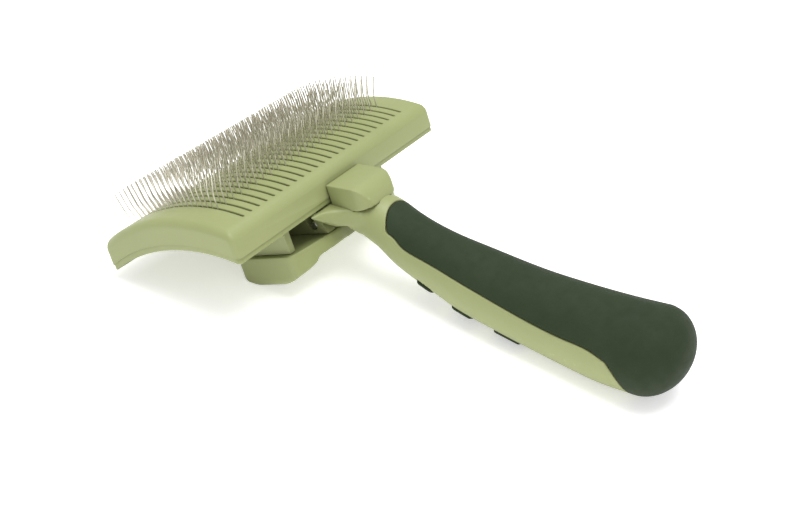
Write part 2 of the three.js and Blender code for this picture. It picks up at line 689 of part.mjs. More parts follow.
function neckScrewGeometry() {
  const { shank, head, headHeight, tip, seat } = NECK_SCREW;
  const base = seat - headHeight;
  return turned([[0, base], [head, base], [head, seat], [shank, seat], [shank, tip], [0, tip]]);
}

// A conical coil, narrow at the lug and wide at its seat in the tongue, so that its turns nest when pressed.
class Coil extends THREE.Curve {
  getPoint(t, target = new THREE.Vector3()) {
    const angle = 2 * Math.PI * SPRING_TURNS * t;
    const radius = THREE.MathUtils.lerp(SPRING_TOP_RADIUS, SPRING_SEAT_RADIUS, t);
    const depth = THREE.MathUtils.lerp(2 * SPRING_WIRE, SPRING_LENGTH - SPRING_WIRE, t);
    return target.set(radius * Math.cos(angle), radius * Math.sin(angle), -depth);
  }
}

function returnSpring() {
  const section = new THREE.Shape();
  section.absarc(0, 0, SPRING_WIRE, 0, 2 * Math.PI, false);
  const steps = 12 * SPRING_TURNS;
  const along = { steps, extrudePath: new Coil(), bevelEnabled: false, curveSegments: 2 };
  return toSpringLine(new THREE.ExtrudeGeometry(section, along));
}

// ---------------------------------------------------------------- assembly

function piece(name, shape, material) {
  const geometry = shape.isBufferGeometry ? shape : geometryOf(shape);
  const mesh = new THREE.Mesh(geometry, material);
  mesh.name = name;
  return mesh;
}

// Pieces drawn in the head's own frame.
function head() {
  const group = new THREE.Group();
  group.rotation.y = -HEAD_TILT;
  group.position.set(HEAD_X, 0, headZ);
  group.add(piece("face_shell", faceShell(), plastic));
  group.add(piece("neck_block", neckBlock(), plastic));
  group.add(piece("pin_carrier", pinCarrier(), plastic));
  group.add(piece("pull_bar", pullBar(), plastic));
  group.add(piece("return_spring", returnSpring(), steel));
  slotPlaces.forEach((y, i) => {
    group.add(piece(`pin_row_${String(i + 1).padStart(2, "0")}`, pinRow(y), steel));
  });
  RODS.forEach(({ name, u, n }) => {
    group.add(piece(name, crossRod(u, n, ROD_RADIUS, ROD_HALF), steel));
  });
  [-1, 1].forEach((side) => {
    const screw = piece(side < 0 ? "neck_screw_right" : "neck_screw_left", neckScrewGeometry(), steel);
    screw.position.set(NECK_SCREW.u, side * NECK_SCREW.y, 0);
    group.add(screw);
  });
  barScrewPlaces.forEach(([u, y], i) => {
    const screw = piece(`bar_screw_${i + 1}`, turned(barScrewOutline(0)), steel);
    screw.position.set(u, y, 0);
    group.add(screw);
  });
  return group;
}

function handle() {
  const group = new THREE.Group();
  group.add(piece("handle_body", handleBody(), plastic));
  group.add(piece("rubber_grip", rubberGrip(), darkRubber));
  THUMB_BARS.forEach((place, i) => {
    group.add(piece(`thumb_bar_${i + 1}`, thumbBar(place), darkRubber));
  });
  return group;
}

// The origin is on the table, under the middle of the whole brush.
const slickerBrush = new THREE.Group();
slickerBrush.add(head(), handle());
const extent = new THREE.Box3().setFromObject(slickerBrush, true);
slickerBrush.position.x = -(extent.min.x + extent.max.x) / 2;

export default slickerBrush;
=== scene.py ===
import math
import random

import bmesh
import bpy
from mathutils import Matrix, Vector


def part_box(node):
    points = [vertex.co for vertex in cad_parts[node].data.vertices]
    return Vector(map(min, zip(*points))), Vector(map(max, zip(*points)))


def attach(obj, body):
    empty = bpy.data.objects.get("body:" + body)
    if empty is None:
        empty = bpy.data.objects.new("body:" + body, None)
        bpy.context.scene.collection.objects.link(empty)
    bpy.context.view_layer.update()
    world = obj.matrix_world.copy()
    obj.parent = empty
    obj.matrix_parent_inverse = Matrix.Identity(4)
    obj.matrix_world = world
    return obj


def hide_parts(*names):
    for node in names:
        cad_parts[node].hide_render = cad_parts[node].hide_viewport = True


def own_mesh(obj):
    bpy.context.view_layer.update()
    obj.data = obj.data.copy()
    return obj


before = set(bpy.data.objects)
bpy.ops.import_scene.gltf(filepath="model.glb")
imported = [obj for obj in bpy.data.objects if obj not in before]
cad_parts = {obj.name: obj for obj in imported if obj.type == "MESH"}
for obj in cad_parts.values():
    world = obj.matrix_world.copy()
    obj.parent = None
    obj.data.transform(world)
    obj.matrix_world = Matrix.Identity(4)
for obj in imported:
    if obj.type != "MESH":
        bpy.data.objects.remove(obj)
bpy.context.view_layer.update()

MM = 0.001
random.seed(7)

# ---------------------------------------------------------------- dimensions, in millimetres

BEYOND = 200  # reaches past the whole brush, for solids that only cut

HEAD_TILT = math.radians(25)
FACE_LENGTH = 113
FACE_WIDTH = 57.7
FACE_RISE = 6.5
WALL_HEIGHT = 10.4
SHELL_THICKNESS = 2
SHELL_FILLET = 3
SHELL_CORNER = 2
LIP = 0.35  # depth of the step around the foot of the walls
LIP_HEIGHT = 2
LIP_STEP = 0.12
CLEARANCE = 0.3
HALF_WIDTH = FACE_WIDTH / 2
HALF_LENGTH = FACE_LENGTH / 2
ARCH_RADIUS = (HALF_WIDTH**2 + FACE_RISE**2) / (2 * FACE_RISE)

SLOT_COUNT = 24
SLOT_PITCH = 3.9
SLOT_WIDTH = 0.84
SLOT_FRONT = -25.6
SLOT_REAR = 25.4
SLOT_RIM = 0.52  # rounding of the slots' edges

PINS_PER_ROW = 20
PIN_PITCH = 2.09
FIRST_PIN = -24
PIN_LENGTH = 11.5  # above the face
PIN_RADIUS = 0.21
PIN_ROOT = 3.3  # depth of a pin's foot below the face
PIN_TIP = 0.2  # length of the rounded end
PIN_LEAN_SPREAD = math.radians(1.6)
PIN_SIDE_SPREAD = 0.18
KNEE_HEIGHT = 4.5
KNEE_SOFT = 1.2  # length of the bend on either side of the knee
LOWER_LEAN = math.radians(-10.5)
UPPER_LEAN = math.radians(6)
STRIP = {"front": -25.6, "rear": 16.2, "outer": 2.7, "inner": 3.5, "half_width": 0.9}

TRAVEL_DEPTH = 13.4
TRAVEL_BACK = 4.8
SLIDE_ANGLE = math.atan2(TRAVEL_BACK, TRAVEL_DEPTH)
SPRING_TOP = (9, -6.9)
SPRING_LENGTH = 17
SPRING_TOP_RADIUS = 1.6
SPRING_SEAT_RADIUS = 3
SPRING_WIRE = 0.25
SPRING_TURNS = 4
SPRING_CUP_RADIUS = 3.4
SPRING_CUP_TOP = 8

RODS = {"guide_rod_front": (8.7, -22.9), "guide_rod_rear": (21.5, -22.9)}
ROD_RADIUS = 1.25
ROD_HALF = 12.6
NECK_SCREW = {"u": 36.5, "y": 4.8, "shank": 1.2, "head": 2.4, "head_height": 2, "tip": -13.3, "seat": -27.4}
TANG = {"front": 27.4, "rear": 39.6, "half_width": 8, "bottom": -16.7, "top": -14.7}
BLOCK = {"front": HALF_WIDTH + CLEARANCE, "rear": 43.6, "half_width": 9.4, "corner": 5, "bottom": -20.4}
BLOCK_TOP = -10.4
BLOCK_BROW = (38.6, -12.7)
BLOCK_SHOULDER = (42.4, -13.8)
FLARE = {"front": 27.6, "wing_rear": 28.9, "rear": 41, "rear_half": 9}
FLARE_HOLLOW = (30.4, 10)  # pulls the wings' rear edge inwards
FLARE_TOP = {"n": -17.1, "half": 20.5, "fall": 4}  # the top slopes down by fall towards the handle
FLARE_BOTTOM = {"n": -25, "half": 10}
MELT = {"from": 29.5, "ease_in": 3, "to": 58, "ease_out": 8, "least": 0.12}  # where the neck's joins are soft
TONGUE = {"front": 6.5, "rear": 31, "half_width": 8.5, "bottom": -25, "top": -20.9}

REST_FACET = 6.84
BAR_FRONT = -0.5
BAR_TOP = -26
BAR_BOTTOM = -36.3
BAR = {"rear": 24.6, "middle_rear": 27.6, "middle_half": 11, "half_length": 30.5, "thin": 4.8}
BAR_TAPER = 6  # the rear edge bends softly over this length on either side of the middle's end
BAR_WING = {"start": 17, "full": 27, "bend": 6}
BAR_FLAT_REAR = 13
BAR_CURVE = 22
BAR_CHAMFER = 1.2
BAR_PLAN_CORNER = 3
BAR_END_ROUND = 2.5
BAR_SCREW = {"shank": 0.9, "head": 1.9, "head_height": 1.4, "tip": -22.7, "seat": -28.7}
BAR_SCREW_PLACES = [(15, -11), (15, 11), (9.6, -24.3), (9.6, 24.3)]

HEAD_X = -17.8  # crown of the face
HANDLE_STATIONS = [  # x, middle height, half width, half height
    (21, 23.6, 9.4, 6.6),
    (27, 23.2, 9.2, 7.6),
    (33, 22.2, 9.4, 8.4),
    (40, 19.2, 9.9, 9.2),
    (47, 17.2, 10.2, 9.6),
    (56, 15.5, 10.8, 10.2),
    (67, 14, 12, 11.2),
    (86, 12.9, 13.3, 11.8),
    (102, 12.8, 14.3, 12.9),
    (116, 13.3, 15.6, 13.7),
    (128, 14.8, 16.2, 14),
]
BUTT_LENGTH = 12.5
BUTT_RISE = 0.6
DOME_END = 1.985  # place of the butt's last ring
SEAM = 0.08  # between the cap and the neck
GRIP_THICKNESS = 2.2
GRIP_SIDE = [  # the rubber's lower edge along the handle, as x and height
    (30, 26), (39, 23.6), (44.5, 21), (54, 19.7), (71.5, 17.9), (88.5, 16.4), (101, 15.9), (112, 16.4),
    (119, 15.4),
]
GRIP_TURN = [GRIP_SIDE[-1], (127.5, 9.5), (129.5, -6)]  # and on around the butt
GRIP_LOBE = {"tip": 34, "round_half": 9, "shoulder": 41, "shoulder_half": 10.4, "wide": 45}
THUMB_BARS = [(49.5, 54.8), (63, 70.3), (78.7, 88.3)]
THUMB_BAR_PROUD = 0.8
THUMB_BAR_DEEP = 1.2
THUMB_BAR_HALF = 8.2
THUMB_BAR_ROOF = 12  # above the bars and below the middle of the handle
FLAT_FROM = 60  # where the handle's flat on the table may begin

# ---------------------------------------------------------------- places in the frame

tilt = Matrix.Rotation(-HEAD_TILT, 4, "Y")
rod_low, rod_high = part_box("guide_rod_front")
rod_u, rod_n = RODS["guide_rod_front"]
head_origin = (rod_low + rod_high) / 2 - tilt @ Vector((rod_u, 0, rod_n)) * MM
HEAD_PLACE = Matrix.Translation(head_origin) @ tilt @ Matrix.Scale(MM, 4)
SPRING_PLACE = (
    HEAD_PLACE
    @ Matrix.Translation((SPRING_TOP[0], 0, SPRING_TOP[1]))
    @ Matrix.Rotation(-SLIDE_ANGLE, 4, "Y")
)
HANDLE_PLACE = Matrix.Translation((head_origin.x - HEAD_X * MM, 0, 0)) @ Matrix.Scale(MM, 4)

# ---------------------------------------------------------------- mesh tools


def new_object(name, bm):
    mesh = bpy.data.meshes.new(name)
    bmesh.ops.recalc_face_normals(bm, faces=bm.faces)
    bm.to_mesh(mesh)
    bm.free()
    made = bpy.data.objects.new(name, mesh)
    bpy.context.scene.collection.objects.link(made)
    return made


def loft(rings, capped=True):
    """A skin over closed rings that all have the same number of points."""
    bm = bmesh.new()
    rows = [[bm.verts.new(point) for point in ring] for ring in rings]
    count = len(rings[0])
    for lower, upper in zip(rows, rows[1:]):
        for i in range(count):
            j = (i + 1) % count
            bm.faces.new((lower[i], lower[j], upper[j], upper[i]))
    if capped:
        bm.faces.new(rows[0])
        bm.faces.new(rows[-1])
    return bm


def prism(outline, low, high, lay):
    """An outline drawn out from low to high. lay(a, b, c) puts outline point (a, b) at height c."""
    return loft([[lay(a, b, c) for a, b in outline] for c in (low, high)])


def along_y(a, b, c):
    return (a, c, b)


def along_n(a, b, c):
    return (a, b, c)


def along_u(a, b, c):
    return (c, a, b)


def block(low, high):
    corners = [(low[0], low[1]), (high[0], low[1]), (high[0], high[1]), (low[0], high[1])]
    return prism(corners, low[2], high[2], along_n)


def merged(parts):
    """Several bmeshes as one, side by side."""
    whole = bmesh.new()
    for part in parts:
        mesh = bpy.data.meshes.new("part")
        part.to_mesh(mesh)
        part.free()
        whole.from_mesh(mesh)
        bpy.data.meshes.remove(mesh)
    return whole


def apply_modifiers(obj):
    graph = bpy.context.evaluated_depsgraph_get()
    mesh = bpy.data.meshes.new_from_object(obj.evaluated_get(graph))
    old = obj.data
    obj.modifiers.clear()
    obj.data = mesh
    bpy.data.meshes.remove(old)


def combine(obj, other, operation):
    """Joins, cuts or crosses obj with a bmesh or a second object, which is used up."""
    if isinstance(other, bmesh.types.BMesh):
        other = new_object("tool", other)
    modifier = obj.modifiers.new("combine", "BOOLEAN")
    modifier.operation = operation
    modifier.solver = "EXACT"
    modifier.object = other
    apply_modifiers(obj)
    bpy.data.objects.remove(other)
    return obj


def rounded_by_remesh(obj, voxel, rounds, weight=None):
    """Melts an object's edges: voxel remesh, then smoothing. weight(point) limits where it smooths."""
    remesh = obj.modifiers.new("remesh", "REMESH")
    remesh.mode = "VOXEL"
    remesh.voxel_size = voxel
    apply_modifiers(obj)
    smooth = obj.modifiers.new("smooth", "SMOOTH")
    smooth.factor = 0.5
    smooth.iterations = rounds
    if weight:
        group = obj.vertex_groups.new(name="smooth")
        for vertex in obj.data.vertices:
            group.add([vertex.index], weight(vertex.co), "REPLACE")
        smooth.vertex_group = "smooth"
    apply_modifiers(obj)
    obj.vertex_groups.clear()


def finish_piece(obj, place, body, nodes, materials, sharp=None):
    """Lays a piece into the frame, shades it and ties it to its body and CAD nodes."""
    obj.data.transform(place)
    obj.data.materials.clear()
    for material in materials:
        obj.data.materials.append(material)
    obj.data.shade_smooth()
    if sharp:
        obj.data.set_sharp_from_angle(angle=math.radians(sharp))
        weighted = obj.modifiers.new("weighted normals", "WEIGHTED_NORMAL")
        weighted.keep_sharp = True
    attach(obj, body)
    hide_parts(*nodes)
    return obj


# ---------------------------------------------------------------- curves


def arch(u):
    """Height of the arched face above its crown, level beyond the head's walls."""
    inside = max(-HALF_WIDTH, min(HALF_WIDTH, u))
    return math.sqrt(ARCH_RADIUS**2 - inside**2) - ARCH_RADIUS


def arc(centre_x, centre_y, radius, start, end, steps):
    """Points on an arc, angles in degrees."""
    angles = [math.radians(start + (end - start) * i / steps) for i in range(steps + 1)]
    return [(centre_x + radius * math.cos(a), centre_y + radius * math.sin(a)) for a in angles]


def circle(centre_x, centre_y, radius, sides=24):
    return arc(centre_x, centre_y, radius, 0, 360 - 360 / sides, sides - 1)


def rounded_rectangle(half_u, half_y, radius, steps=8):
    corners = [(1, 1, 0), (-1, 1, 90), (-1, -1, 180), (1, -1, 270)]
    points = []
    for side_u, side_y, start in corners:
        centre_u, centre_y = side_u * (half_u - radius), side_y * (half_y - radius)
        points += arc(centre_u, centre_y, radius, start, start + 90, steps)
    return points


def quadratic(start, control, end, steps):
    points = []
    for i in range(steps + 1):
        t = i / steps
        points.append(tuple(
            (1 - t) ** 2 * a + 2 * t * (1 - t) * b + t**2 * c for a, b, c in zip(start, control, end)
        ))
    return points


def cubic(start, first, second, end, steps):
    corners = (start, first, second, end)
    points = []
    for i in range(steps + 1):
        t = i / steps
        weights = ((1 - t) ** 3, 3 * t * (1 - t) ** 2, 3 * t**2 * (1 - t), t**3)
        points.append(tuple(sum(w * p[axis] for w, p in zip(weights, corners)) for axis in (0, 1)))
    return points


def spline(points, t):
    """Uniform Catmull-Rom curve through the points, t from 0 to 1."""
    last = len(points) - 1
    place = min(max(t, 0), 1) * last
    index = min(int(place), last - 1)
    w = place - index
    p1, p2 = points[index], points[index + 1]
    p0 = points[index - 1] if index > 0 else [2 * a - b for a, b in zip(p1, p2)]
    p3 = points[index + 2] if index + 2 <= last else [2 * b - a for a, b in zip(p1, p2)]
    out = []
    for a, b, c, d in zip(p0, p1, p2, p3):
        first, second = (c - a) / 2, (d - b) / 2
        squared = 3 * (c - b) - 2 * first - second
        cubed = 2 * (b - c) + first + second
        out.append(b + first * w + squared * w**2 + cubed * w**3)
    return out


# ---------------------------------------------------------------- materials

SAGE_DARK = (0.262, 0.293, 0.118)
SAGE_LIGHT = (0.296, 0.326, 0.136)
SAGE_WORN = (0.42, 0.45, 0.24)
# painted shade: the darker sage that corners and narrow gaps are mixed towards
SAGE_PAINTED_SHADE = (0.19, 0.205, 0.08)
RUBBER_DARK = (0.018, 0.03, 0.012)
RUBBER_LIGHT = (0.024, 0.038, 0.016)
WIRE_DARK = (0.48, 0.46, 0.37)
WIRE_LIGHT = (0.78, 0.75, 0.65)
ZINC_DARK = (0.5, 0.5, 0.49)
ZINC_LIGHT = (0.66, 0.66, 0.65)


def shader(name):
    material = bpy.data.materials.new(name)
    material.use_nodes = True
    nodes = material.node_tree.nodes
    return material, nodes, material.node_tree.links, nodes["Principled BSDF"]


def noise(nodes, links, scale, detail, roughness=0.55):
    where = nodes.new("ShaderNodeTexCoord")
    texture = nodes.new("ShaderNodeTexNoise")
    texture.inputs["Scale"].default_value = scale
    texture.inputs["Detail"].default_value = detail
    texture.inputs["Roughness"].default_value = roughness
    links.new(where.outputs["Object"], texture.inputs["Vector"])
    return texture.outputs["Fac"]


def remap(nodes, links, value, low, high):
    node = nodes.new("ShaderNodeMapRange")
    node.inputs["From Min"].default_value = 0.3
    node.inputs["From Max"].default_value = 0.7
    node.inputs["To Min"].default_value = low
    node.inputs["To Max"].default_value = high
    links.new(value, node.inputs["Value"])
    return node.outputs["Result"]


def mixed(nodes, links, factor, first, second):
    node = nodes.new("ShaderNodeMix")
    node.data_type = "RGBA"
    node.inputs["A"].default_value = (*first, 1)
    if isinstance(second, tuple):
        node.inputs["B"].default_value = (*second, 1)
    else:
        links.new(second, node.inputs["B"])
    links.new(factor, node.inputs["Factor"])
    return node.outputs["Result"]


def bump(nodes, links, height, strength, distance, normal=None):
    node = nodes.new("ShaderNodeBump")
    node.inputs["Strength"].default_value = strength
    node.inputs["Distance"].default_value = distance
    links.new(height, node.inputs["Height"])
    if normal:
        links.new(normal, node.inputs["Normal"])
    return node.outputs["Normal"]


def edge_wear(nodes, links):
    """1 on convex edges, 0 elsewhere."""
    geometry = nodes.new("ShaderNodeNewGeometry")
    node = nodes.new("ShaderNodeMapRange")
    node.inputs["From Min"].default_value = 0.52
    node.inputs["From Max"].default_value = 0.62
    links.new(geometry.outputs["Pointiness"], node.inputs["Value"])
    return node.outputs["Result"]


def painted_shade_occlusion(nodes, links, distance):
    """Ambient occlusion for painted shade: 0 in corners and narrow gaps, 1 on open surfaces."""
    node = nodes.new("ShaderNodeAmbientOcclusion")
    node.samples = 8
    node.inputs["Distance"].default_value = distance
    return node.outputs["AO"]


def moulded_plastic():
    """Sage green, a little cloudy, paler on rubbed edges, with painted shade darkening corners and gaps, and
    a fine grain.
    """
    material, nodes, links, surface = shader("sage_plastic")
    cloud = remap(nodes, links, noise(nodes, links, 22, 3), 0, 1)
    base = mixed(nodes, links, cloud, SAGE_DARK, SAGE_LIGHT)
    worn = nodes.new("ShaderNodeMix")
    worn.data_type = "RGBA"
    worn.inputs["B"].default_value = (*SAGE_WORN, 1)
    links.new(base, worn.inputs["A"])
    scaled = nodes.new("ShaderNodeMath")
    scaled.operation = "MULTIPLY"
    scaled.inputs[1].default_value = 0.35
    links.new(edge_wear(nodes, links), scaled.inputs[0])
    links.new(scaled.outputs["Value"], worn.inputs["Factor"])
    # painted shade: corners and gaps are mixed towards a darker sage that stands in for shade
    unshaded_share = painted_shade_occlusion(nodes, links, 6 * MM)
    colour = mixed(nodes, links, unshaded_share, SAGE_PAINTED_SHADE, worn.outputs["Result"])
    links.new(colour, surface.inputs["Base Color"])
    links.new(remap(nodes, links, noise(nodes, links, 180, 4), 0.4, 0.52), surface.inputs["Roughness"])
    grain = bump(nodes, links, noise(nodes, links, 5200, 2), 0.12, 0.00006)
    waves = bump(nodes, links, noise(nodes, links, 90, 2), 0.12, 0.0004, grain)
    links.new(waves, surface.inputs["Normal"])
    surface.inputs["Subsurface Weight"].default_value = 0.06
    surface.inputs["Subsurface Radius"].default_value = (0.6, 0.7, 0.3)
    surface.inputs["Subsurface Scale"].default_value = 0.002
    return material


def soft_rubber():
    """Dark green and matt, with a coarser grain than the plastic."""
    material, nodes, links, surface = shader("dark_rubber")
    cloud = remap(nodes, links, noise(nodes, links, 35, 4), 0, 1)
    base = mixed(nodes, links, cloud, RUBBER_DARK, RUBBER_LIGHT)
    links.new(base, surface.inputs["Base Color"])
    links.new(remap(nodes, links, noise(nodes, links, 260, 4), 0.66, 0.82), surface.inputs["Roughness"])
    links.new(bump(nodes, links, noise(nodes, links, 6500, 3), 0.35, 0.00008), surface.inputs["Normal"])
    surface.inputs["Specular IOR Level"].default_value = 0.22
    surface.inputs["Sheen Weight"].default_value = 0.01
    surface.inputs["Sheen Roughness"].default_value = 0.5
    return material


def metal(name, dark, light, rough_low, rough_high, grain):
    """Wire or plated steel, mottled between two tones at the scale of grain."""
    material, nodes, links, surface = shader(name)
    cloud = remap(nodes, links, noise(nodes, links, grain, 3), 0, 1)
    links.new(mixed(nodes, links, cloud, dark, light), surface.inputs["Base Color"])
    roughness = remap(nodes, links, noise(nodes, links, grain * 4, 2), rough_low, rough_high)
    links.new(roughness, surface.inputs["Roughness"])
    links.new(bump(nodes, links, noise(nodes, links, grain * 9, 2), 0.1, 0.00003), surface.inputs["Normal"])
    surface.inputs["Metallic"].default_value = 1
    return material


plastic = moulded_plastic()
rubber = soft_rubber()
pin_wire = metal("pin_wire", WIRE_DARK, WIRE_LIGHT, 0.26, 0.4, 400)
zinc = metal("zinc_steel", ZINC_DARK, ZINC_LIGHT, 0.28, 0.42, 600)

# ---------------------------------------------------------------- face shell


def shell_ring(height, inset, steps=8):
    """Plan of the flat shell, moved in by inset."""
    corner = max(SHELL_CORNER - inset, 0.2)
    outline = rounded_rectangle(HALF_WIDTH - inset, HALF_LENGTH - inset, corner, steps)
    return [(u, y, height) for u, y in outline]


def shell_outside():
    """Straight walls with a shallow lip at the foot and a fillet at the top."""
    lip_top = LIP_HEIGHT - WALL_HEIGHT
    levels = [(-WALL_HEIGHT, 2 * LIP), (LIP - WALL_HEIGHT, LIP), (lip_top, LIP), (lip_top + LIP_STEP, 0)]
    for i in range(9):
        angle = math.radians(90 * i / 8)
        levels.append((-SHELL_FILLET * (1 - math.sin(angle)), SHELL_FILLET * (1 - math.cos(angle))))
    return loft([shell_ring(height, inset) for height, inset in levels])


def shell_inside():
    """The room under the face, with a small fillet under its ceiling."""
    corner_height = -SHELL_THICKNESS - 1
    levels = [(-WALL_HEIGHT - 1, SHELL_THICKNESS), (corner_height, SHELL_THICKNESS)]
    for degrees in (30, 60, 90):
        angle = math.radians(degrees)
        levels.append((corner_height + math.sin(angle), SHELL_THICKNESS + 1 - math.cos(angle)))
    return loft([shell_ring(height, inset, 4) for height, inset in levels])


def slot_cutters():
    half = SLOT_WIDTH / 2
    slots = []
    for i in range(SLOT_COUNT):
        y = (i - (SLOT_COUNT - 1) / 2) * SLOT_PITCH
        outline = arc(SLOT_REAR - half, y, half, -90, 90, 8) + arc(SLOT_FRONT + half, y, half, 90, 270, 8)
        slots.append(prism(outline, -SHELL_THICKNESS - 2, 1, along_n))
    return slots


def round_slot_rims(bm):
    near = 0.1
    rims = [e for e in bm.edges
            if all(abs(v.co.z) < 1e-4 and SLOT_FRONT - near < v.co.x < SLOT_REAR + near for v in e.verts)
            and len(e.link_faces) == 2 and abs(e.calc_face_angle()) > 1]
    bmesh.ops.bevel(
        bm, geom=rims, offset=SLOT_RIM, segments=4, profile=0.5, affect="EDGES", clamp_overlap=True,
    )


def bend_over_arch(bm):
    steps = 44
    for i in range(steps + 1):
        u = HALF_WIDTH * (2 * i / steps - 1) * 0.999  # just inside the walls
        everything = bm.verts[:] + bm.edges[:] + bm.faces[:]
        bmesh.ops.bisect_plane(bm, geom=everything, plane_co=(u, 0, 0), plane_no=(1, 0, 0))
    for vertex in bm.verts:
        vertex.co.z += arch(vertex.co.x)
    bmesh.ops.remove_doubles(bm, verts=bm.verts, dist=1e-4)


def face_shell():
    """Built flat, then bent over the arch, so that walls, rims and slots follow the curve."""
    shell = new_object("face_shell_look", shell_outside())
    tang_shift = -arch(HALF_WIDTH)
    tang_low = (TANG["front"], -TANG["half_width"], TANG["bottom"] + tang_shift)
    tang_high = (TANG["rear"], TANG["half_width"], TANG["top"] + tang_shift)
    combine(shell, block(tang_low, tang_high), "UNION")
    combine(shell, shell_inside(), "DIFFERENCE")
    shank = NECK_SCREW["shank"] + CLEARANCE
    screws = [prism(circle(NECK_SCREW["u"], side * NECK_SCREW["y"], shank), -BEYOND, BEYOND, along_n)
              for side in (-1, 1)]
    combine(shell, merged(slot_cutters() + screws), "DIFFERENCE")

    bm = bmesh.new()
    bm.from_mesh(shell.data)
    round_slot_rims(bm)
    bend_over_arch(bm)
    bm.to_mesh(shell.data)
    bm.free()
    finish_piece(shell, HEAD_PLACE, "brush_body", ["face_shell"], [plastic], sharp=50)


# ---------------------------------------------------------------- neck block


def block_outline(grow=0):
    """Side view of the cap between head and handle."""
    front, rear, low = BLOCK["front"] - grow, BLOCK["rear"] + grow, BLOCK["bottom"] - grow
    shoulder = (BLOCK_SHOULDER[0] + grow, BLOCK_SHOULDER[1] + grow)
    brow = (BLOCK_BROW[0], BLOCK_BROW[1] + grow)
    return [(front, low)] + quadratic((rear, low), shoulder, brow, 12) + [(front, BLOCK_TOP + grow)]


def block_plan(grow=0):
    half, rear, corner = BLOCK["half_width"] + grow, BLOCK["rear"] + grow, BLOCK["corner"]
    right = arc(rear - corner, corner - half, corner, -90, 0, 10)
    left = arc(rear - corner, half - corner, corner, 0, 90, 10)
    return [(20, -half)] + right + left + [(20, half)]


def neck_block():
    half = BLOCK["half_width"]
    cap = new_object("neck_block_look", prism(block_outline(), -half, half, along_y))
    combine(cap, prism(block_plan(), -BEYOND, 0, along_n), "INTERSECT")
    low = (0, -TANG["half_width"] - CLEARANCE, TANG["bottom"] - CLEARANCE)
    high = (TANG["rear"] + CLEARANCE, TANG["half_width"] + CLEARANCE, TANG["top"] + CLEARANCE)
    combine(cap, block(low, high), "DIFFERENCE")
    rounded_by_remesh(cap, 0.3, 5)
    finish_piece(cap, HEAD_PLACE, "brush_body", ["neck_block"], [plastic])


# ---------------------------------------------------------------- handle


def section(s, inset=0):
    """Cross section of the handle: s runs from 0 at the neck to 1, then to 2 over the domed butt."""
    x, z, half_width, half_height = spline(HANDLE_STATIONS, s)
    if s <= 1:
        return x, z, half_width - inset, half_height - inset
    angle = (s - 1) * math.pi / 2
    return (x + (BUTT_LENGTH - inset) * math.sin(angle), z + BUTT_RISE * math.sin(angle),
            (half_width - inset) * math.cos(angle), (half_height - inset) * math.cos(angle))


def skin(s, angle, inset=0):
    """A point on the handle's skin. The angle is 0 on top and pi underneath."""
    x, z, half_width, half_height = section(s, inset)
    return (x, math.sin(angle) * half_width, z + math.cos(angle) * half_height)


def section_at(x):
    low, high = 0, 2
    for _ in range(40):
        middle = (low + high) / 2
        low, high = (middle, high) if section(middle)[0] < x else (low, middle)
    return (low + high) / 2


def handle_form(inset=0, sides=72):
    places = [i / 90 for i in range(91)] + [1 + i / 20 for i in range(1, 20)] + [DOME_END]
    angles = [2 * math.pi * i / sides for i in range(sides)]
    return loft([[skin(s, angle, inset) for angle in angles] for s in places])


grip_edge = [tuple(spline(GRIP_SIDE, i / 80)) for i in range(80)] + quadratic(*GRIP_TURN, 30)


def grip_edge_height(x):
    """Height of the rubber's lower edge at x."""
    for (x0, z0), (x1, z1) in zip(grip_edge, grip_edge[1:]):
        if x0 <= x <= x1:
            return z0 + (z1 - z0) * (x - x0) / max(x1 - x0, 1e-6)
    return -BEYOND


def grip_lobe_half(x):
    """Half width of the rubber's rounded front lobe at x, and no limit behind it."""
    t = math.sqrt(max(x - GRIP_LOBE["tip"], 0) / (GRIP_LOBE["shoulder"] - GRIP_LOBE["tip"]))
    if t >= 1:
        return BEYOND
    return 2 * GRIP_LOBE["round_half"] * t * (1 - t) + GRIP_LOBE["shoulder_half"] * t**2


def grip_reach(s):
    """How far round the handle the rubber goes, as an angle from the top."""
    x, z, half_width, half_height = section(s)
    down = max(-1, min(1, (grip_edge_height(x) - z) / max(half_height, 1e-6)))
    side = min(1, grip_lobe_half(x) / max(half_width, 1e-6))
    return min(math.acos(down), math.asin(side) if side < 1 else math.pi)


def rolled(distance, radius):
    """How far an edge of that radius drops at a distance from the outline."""
    gap = radius - min(max(distance, 0), radius)
    return radius - math.sqrt(radius**2 - gap**2)


def skin_patch(places, middle_angle, reach, drop, inner, shares):
    """A closed shell that lies on the handle: rows at places, columns at shares of each row's reach."""
    bm = bmesh.new()
    outer_rows = []
    inner_rows = []
    for s in places:
        span = reach(s)
        outer_rows.append([bm.verts.new(skin(s, middle_angle + k * span, drop(s, k))) for k in shares])
        inner_rows.append([bm.verts.new(skin(s, middle_angle + k * span, inner)) for k in shares])
    for rows, turned in ((outer_rows, False), (inner_rows, True)):
        for lower, upper in zip(rows, rows[1:]):
            for i in range(len(shares) - 1):
                face = (lower[i], lower[i + 1], upper[i + 1], upper[i])
                bm.faces.new(face[::-1] if turned else face)
    for row in range(len(places) - 1):
        if reach(places[row]) > math.pi - 1e-4 and reach(places[row + 1]) > math.pi - 1e-4:
            continue
        for column in (0, -1):
            bm.faces.new((outer_rows[row][column], outer_rows[row + 1][column],
                          inner_rows[row + 1][column], inner_rows[row][column]))
    for row in (0, -1):
        outer_row, inner_row = outer_rows[row], inner_rows[row]
        for i in range(len(shares) - 1):
            bm.faces.new((outer_row[i], outer_row[i + 1], inner_row[i + 1], inner_row[i]))
    bmesh.ops.remove_doubles(bm, verts=bm.verts, dist=2e-3)
    return bm


def edge_shares(fine, coarse):
    """Shares from -1 to 1, close together near the ends."""
    rim = [1 - fine * i for i in range(7)]
    inside = 1 - fine * 7
    middle = [inside * (1 - 2 * i / coarse) for i in range(coarse + 1)]
    return sorted(set([-k for k in rim] + middle + rim))


